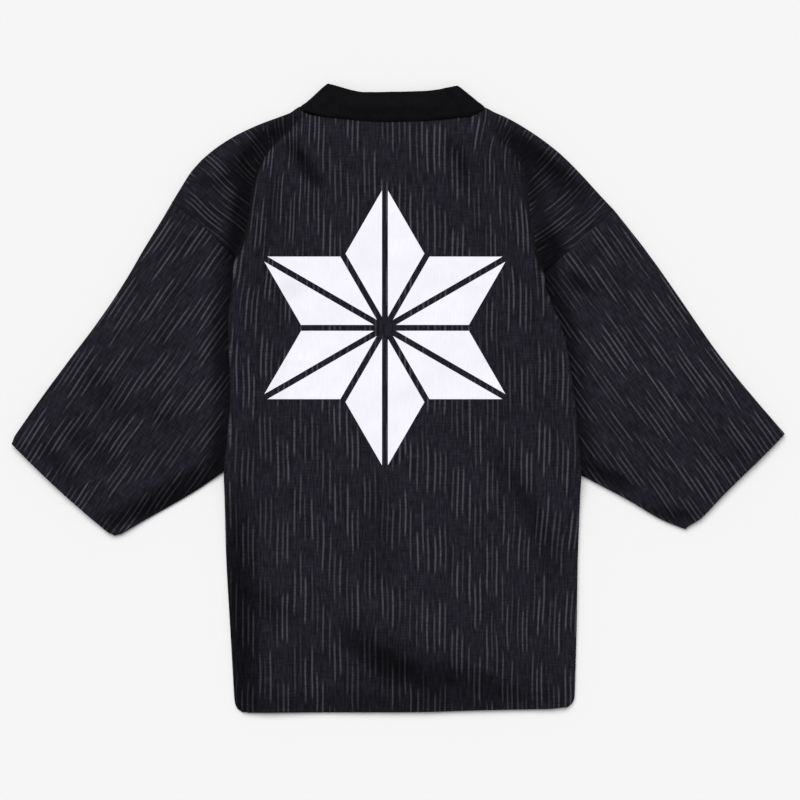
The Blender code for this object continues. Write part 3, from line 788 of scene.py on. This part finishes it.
def sleeve_threads(side, sign, places):
    """How far each place is across the sleeve's warp, inwards from its top edge, and along it.
    The warp lines meet far beyond the cuff, and both are read round that point."""
    lean, spread = (math.radians(angle) for angle in SLEEVE_WARP[side])
    far = SLEEVE_WIDTH / spread
    way = np.array([sign * math.sin(lean), -math.cos(lean)])
    out = np.array([sign * math.cos(lean), math.sin(lean)])
    hub = np.array(SLEEVE_ENDS[side][0]) + way * (far + SPACED_AT)
    to = hub - places[:, :2]
    turn = np.arctan2((to * out).sum(1), (to * way).sum(1))
    return -turn * far, np.linalg.norm(to, axis=1) - far


for side, sign in (("left", -1), ("right", 1)):
    sleeve = cloth_on(f"sleeve_{side}", f"sleeve_{side}_cloth")
    creases = SLEEVE_CREASES[side]
    press(sleeve, creases, SLEEVE_LUMPS, SLEEVE_SEED + sign, under_the_back(side))
    beneath = [crease._replace(rise=BENEATH * abs(crease.rise)) for crease in creases]
    press_under(sleeve, beneath, UNDER_LUMPS, BENEATH_SEED + sign)
    shift_piece(sleeve)
    body_edge = shifted(smooth_line(BODY_EDGES[side]))
    # painted shade on the sleeve beside the back's edge that lies over it
    paint_shade_beside(sleeve, body_edge, sign > 0, PAINTED_SHADE_REACH[side], PAINTED_SHADE_UNDER_BACK[side])
    seam = shifted(smooth_line(SLEEVE_SEAMS[side]))
    outward = np.array([-sign * (seam[0] - seam[-1])[1], sign * (seam[0] - seam[-1])[0]])
    outward *= SEAM_DRAW / np.linalg.norm(outward)
    draw_to_seam(sleeve, seam, outward)
    draw_to_seam(back, seam, -outward)
    point, middle, normal = faces_of_corners(sleeve)
    across, along = sleeve_threads(side, sign, point)
    from_middle = sleeve_threads(side, sign, middle)[0] + SLEEVE_WIDTH / 2
    across = over_edges(across, along, point, from_middle, normal[:, 2], returns=False)
    write_grain(sleeve, SLEEVE_EASE[side] * across + SLEEVE_START[side], along)
    sleeve.data.materials.append(cotton)
    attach(sleeve, "root")
    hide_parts(f"sleeve_{side}")

# The collar band ------------------------------------------------------
# A long band of plain black cotton, folded double over a stiffener. It runs round the neck and
# down both front edges to the hem.

# The seam that the band's lower edge is drawn down to, and by how much
NECK_SEAM = [
    (-131, 392), (-118, 388.2), (-100, 384.2), (-72, 380), (-40, 377.4), (-6, 376.5),
    (28, 377.4), (56, 379.6), (84, 383.6), (103, 388.4), (117, 392.5),
]
NECK_DRAW = (0.0, -2.2)
# How far the band's free edge stands above an even sweep, from the left of the neck to the right:
# it's pressed round where it turns to the front, dips beyond that, and is full in the middle.
FREE_EDGE = [
    (-131, 0), (-126, -1.3), (-116, -1.0), (-106, 0.2), (-100, 0.6), (-94.8, 0.1), (-93, 1.5),
    (-91, 2.2), (-86, 1.5), (-80, 0.4), (-70, -1.0), (-60, -2.0), (-48, -2.1), (-38, -0.6),
    (-21, 0.8), (-8, 1.5), (17, 1.5), (25, 1.1), (42, -0.6), (57, -0.7), (69, 0.6), (74, 1.0),
    (77.5, 1.6), (82, -1.0), (86, -0.2), (104, -0.5), (112, -1.2), (122, 0),
]
FREE_EDGE_REACH = 14.0  # the band bends to it over this far from the seam
SEAM_DIP = [((98, 385), 20, (0, -3.2))]  # on the right of the neck the seam dips further
COLLAR_CREASES = [
    # fuller along the middle of the band, and nipped where it turns to the front
    Crease([(-104, 402), (-60, 398), (-6, 395), (50, 398), (92, 402)], 1.2, 15, 15),
    Crease([(-98, 388), (-86, 404), (-74, 420)], -1.0, 10, 12),
    Crease([(84, 388), (74, 404), (62, 418)], -0.9, 12, 10),
    Crease([(10, 382), (16, 396), (14, 412)], -0.6, 12, 14),
]
COLLAR_LUMPS = [(30, 0.5)]
COLLAR_SEED = 2.9
RIDGE_SPACING = 3.8875 * MM  # the twill's ridges, drawn four times as coarse as they are
WAVE_REPEAT = math.pi / 5 / math.sqrt(2)  # at scale 1 a diagonal wave repeats after this far
LINT_SIZE = 1 / 90  # clumps of lint, 11 mm across
BAND_BLACK, BAND_WORN = "#060608", "#101013"


def plain_cotton():
    """Black cotton drill, dense and matt, with fine slanting ridges and a little lint."""
    material, tree = blank_material("black_cotton_drill")
    place = add(tree, "TexCoord")
    ridges = add(
        tree, "TexWave",
        {"wave_type": "BANDS", "bands_direction": "DIAGONAL",
         "Scale": WAVE_REPEAT / RIDGE_SPACING,
         "Distortion": 1.2, "Detail": 2.0, "Detail Scale": 1.6},
        {"Vector": (place, "Object")},
    )
    lint = add(
        tree, "TexNoise", {"Scale": 1 / LINT_SIZE, "Detail": 4.0, "Roughness": 0.65},
        {"Vector": (place, "Object")},
    )
    shade = add(tree, "Math.MULTIPLY_ADD", {1: 0.25}, {0: ridges, 2: lint})
    shade = add(tree, "MapRange", {"From Min": 0.3, "From Max": 0.9}, {0: shade})
    colour = add(
        tree, "Mix", {"data_type": "RGBA", 6: linear(BAND_BLACK), 7: linear(BAND_WORN)}, {0: shade}
    )
    bump = add(tree, "Bump", {"Strength": 0.5, "Distance": 0.3 * MM}, {"Height": shade})
    skin = add(
        tree, "BsdfPrincipled",
        {"Roughness": 0.8, "Specular IOR Level": 0.06},
        {"Base Color": (colour, 2), "Normal": bump},
    )
    add(tree, "OutputMaterial", {}, {"Surface": skin})
    return material


def shape_free_edge(piece):
    """Lifts and dips the band's free edge as the table says."""
    points, _ = points_of(piece)
    seam_x, seam_y = np.array(NECK_SEAM, float).T
    above = points[:, 1] > np.interp(points[:, 0], seam_x, seam_y)
    gap = beside(points[:, :2], np.array(NECK_SEAM, float))[0]
    places, lifts = zip(*FREE_EDGE)
    lift = np.interp(points[:, 0], places, lifts) * ease(gap / FREE_EDGE_REACH)
    points[:, 1] += lift * above
    place_points(piece, points)


collar = cloth_on("collar", "collar_band")
press(collar, COLLAR_CREASES, COLLAR_LUMPS, COLLAR_SEED)
draw_to_seam(collar, NECK_SEAM, NECK_DRAW)
shape_free_edge(collar)
shift_piece(collar, SEAM_DIP)
collar.data.materials.append(plain_cotton())
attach(collar, "root")
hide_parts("collar")

# The print ------------------------------------------------------------
# A hemp-leaf star, the old six-pointed pattern of Japanese cloth, screen-printed in white across
# the shoulders. The ink lies on the cloth as one thin film.

PRINT_MIDDLE = (-17 * MM, 95 * MM)
PRINT_RADIUS = 193 * MM
VEIN = 8 * MM  # the bare cloth between two parts of a leaf
INK = 0.45 * MM  # the film is drawn several times as thick as it is,
INK_STANDS = 0.65 * MM  # with its face this far above the cloth's, to clear every crease
PRINT_CELL = 3 * MM
ABOVE_COAT = 50 * MM
LEAVES = 6
SLANT = math.radians(30)  # half the turn from one leaf to the next
PATCH_SIZE = 1 / 24  # the ink lies unevenly, in patches 4 cm across
INK_THIN, INK_FULL = "#f0eef8", "#f8f7ff"


def leaf_half():
    """Half a leaf, tip towards +Y: a grid that is cut along its three edges."""
    # a little more than half a leaf, whose width is the radius / sqrt(3)
    width, height = 0.6 * PRINT_RADIUS / math.sqrt(3), 1.1 * PRINT_RADIUS
    bpy.ops.mesh.primitive_grid_add(
        x_subdivisions=round(width / PRINT_CELL), y_subdivisions=round(height / PRINT_CELL),
        size=1, location=(width / 2, height / 2, 0),
    )
    half = bpy.context.object
    half.scale = (width, height, 1)
    bpy.ops.object.transform_apply(location=True, rotation=True, scale=True)
    bpy.ops.object.mode_set(mode="EDIT")
    # the vein down the middle, the gap to the next leaf, and the leaf's own outer edge
    to_next = Vector((math.cos(SLANT), -math.sin(SLANT), 0))
    cuts = [
        ((VEIN / 2, 0, 0), (-1, 0, 0)),
        (-VEIN / 2 * to_next, to_next),
        ((0, PRINT_RADIUS, 0), (math.cos(SLANT), math.sin(SLANT), 0)),
    ]
    for spot, outward in cuts:
        bpy.ops.mesh.select_all(action="SELECT")
        bpy.ops.mesh.bisect(plane_co=spot, plane_no=outward, clear_outer=True)
    bpy.ops.object.mode_set(mode="OBJECT")
    return half


half = leaf_half()
leaves = []
for turn in range(LEAVES):
    for flip in (1, -1):
        leaf = half.copy()
        leaf.data = half.data.copy()
        bpy.context.scene.collection.objects.link(leaf)
        leaf.scale = (flip, 1, 1)
        leaf.rotation_euler = (0, 0, 2 * SLANT * turn)
        leaf.location = (*PRINT_MIDDLE, ABOVE_COAT)
        leaves.append(leaf)
bpy.data.objects.remove(half)
select_only(*leaves)
bpy.ops.object.transform_apply(location=True, rotation=True, scale=True)
bpy.ops.object.join()
star = bpy.context.object
star.name = "print_star"
bpy.ops.object.mode_set(mode="EDIT")
bpy.ops.mesh.select_all(action="SELECT")
bpy.ops.mesh.remove_doubles(threshold=WELD)
bpy.ops.mesh.normals_make_consistent(inside=False)
bpy.ops.object.mode_set(mode="OBJECT")
if star.data.polygons[0].normal.z < 0:
    bpy.ops.object.mode_set(mode="EDIT")
    bpy.ops.mesh.flip_normals()
    bpy.ops.object.mode_set(mode="OBJECT")
lay = star.modifiers.new("lay on the cloth", "SHRINKWRAP")
lay.target = back
lay.wrap_method = "PROJECT"
lay.use_project_z = True
lay.use_negative_direction = True
lay.use_positive_direction = False
lay.offset = INK_STANDS
bpy.ops.object.modifier_apply(modifier=lay.name)
film = star.modifiers.new("film of ink", "SOLIDIFY")
film.thickness = INK
film.offset = -1
bpy.ops.object.modifier_apply(modifier=film.name)
bpy.ops.object.shade_smooth_by_angle(angle=math.radians(40))


def white_ink():
    """Water-based white screen ink, which sinks a little into the cotton: it's matt, and the
    weave still shows through as a fine grain."""
    material, tree = blank_material("white_screen_ink")
    place = add(tree, "TexCoord")
    stretch = (1 / SLUB_WIDTH, 1 / SLUB_LENGTH, 1)
    stretched = add(tree, "Mapping", {"Scale": stretch}, {"Vector": (place, "Object")})
    weave = add(tree, "TexNoise", {"Scale": 1.0, "Detail": 2.0}, {"Vector": stretched})
    patch = add(
        tree, "TexNoise", {"Scale": 1 / PATCH_SIZE, "Detail": 2.0}, {"Vector": (place, "Object")}
    )
    thin = add(tree, "Math.MULTIPLY", {}, {0: weave, 1: patch})
    thin = add(tree, "MapRange", {"From Min": 0.1, "From Max": 0.4}, {0: thin})
    colour = add(
        tree, "Mix", {"data_type": "RGBA", 6: linear(INK_THIN), 7: linear(INK_FULL)}, {0: thin}
    )
    bump = add(tree, "Bump", {"Strength": 0.3, "Distance": 0.2 * MM}, {"Height": weave})
    skin = add(
        tree, "BsdfPrincipled", {"Roughness": 0.7, "Specular IOR Level": 0.25},
        {"Base Color": (colour, 2), "Normal": bump},
    )
    add(tree, "OutputMaterial", {}, {"Surface": skin})
    return material


star.data.materials.append(white_ink())
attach(star, "root")

# The room -------------------------------------------------------------
# A white table top, a soft sky all round, one broad lamp high beyond the neck, and the camera
# straight above the coat.

FLOOR_SIZE = 40.0  # so wide that no view sees its end
UNDER_COAT = 0.5 * MM  # it lies this far below the cloth, which touches nothing
PAPER = "#f4f4f4"
bpy.ops.mesh.primitive_plane_add(size=FLOOR_SIZE, location=(0, 0, -UNDER_COAT))
floor = bpy.context.object
floor.name = "floor"
paper, paper_tree = blank_material("white_paper")
paper_face = add(
    paper_tree, "BsdfPrincipled",
    {"Base Color": linear(PAPER), "Roughness": 0.9, "Specular IOR Level": 0.1},
)
add(paper_tree, "OutputMaterial", {}, {"Surface": paper_face})
floor.data.materials.append(paper)

SKY, LAMP = 0.30, 2.678
LAMP_WIDTH = math.radians(50)  # as wide as a window near by, for soft shadows
LAMP_WAY = Vector((0.15, -0.62, -1.0))  # the way its light goes
world = bpy.data.worlds.new("studio")
world.use_nodes = True
sky = world.node_tree.nodes["Background"].inputs
sky["Color"].default_value = (1, 1, 1, 1)
sky["Strength"].default_value = SKY
bpy.context.scene.world = world

lamp_data = bpy.data.lights.new("soft_lamp", "SUN")
lamp_data.energy = LAMP
lamp_data.angle = LAMP_WIDTH
lamp = bpy.data.objects.new("soft_lamp", lamp_data)
lamp.rotation_euler = LAMP_WAY.to_track_quat("-Z", "Y").to_euler()
bpy.context.scene.collection.objects.link(lamp)

CAMERA_PLACE = (3.4 * MM, -2.7 * MM, 3.022)
CAMERA_LENS, CAMERA_FILM = 100, 36  # in millimetres
camera_data = bpy.data.cameras.new("camera")
camera_data.lens = CAMERA_LENS
camera_data.sensor_width = CAMERA_FILM
camera = bpy.data.objects.new("camera", camera_data)
camera.location = CAMERA_PLACE
bpy.context.scene.collection.objects.link(camera)
bpy.context.scene.camera = camera
bpy.context.scene.view_settings.view_transform = "Standard"
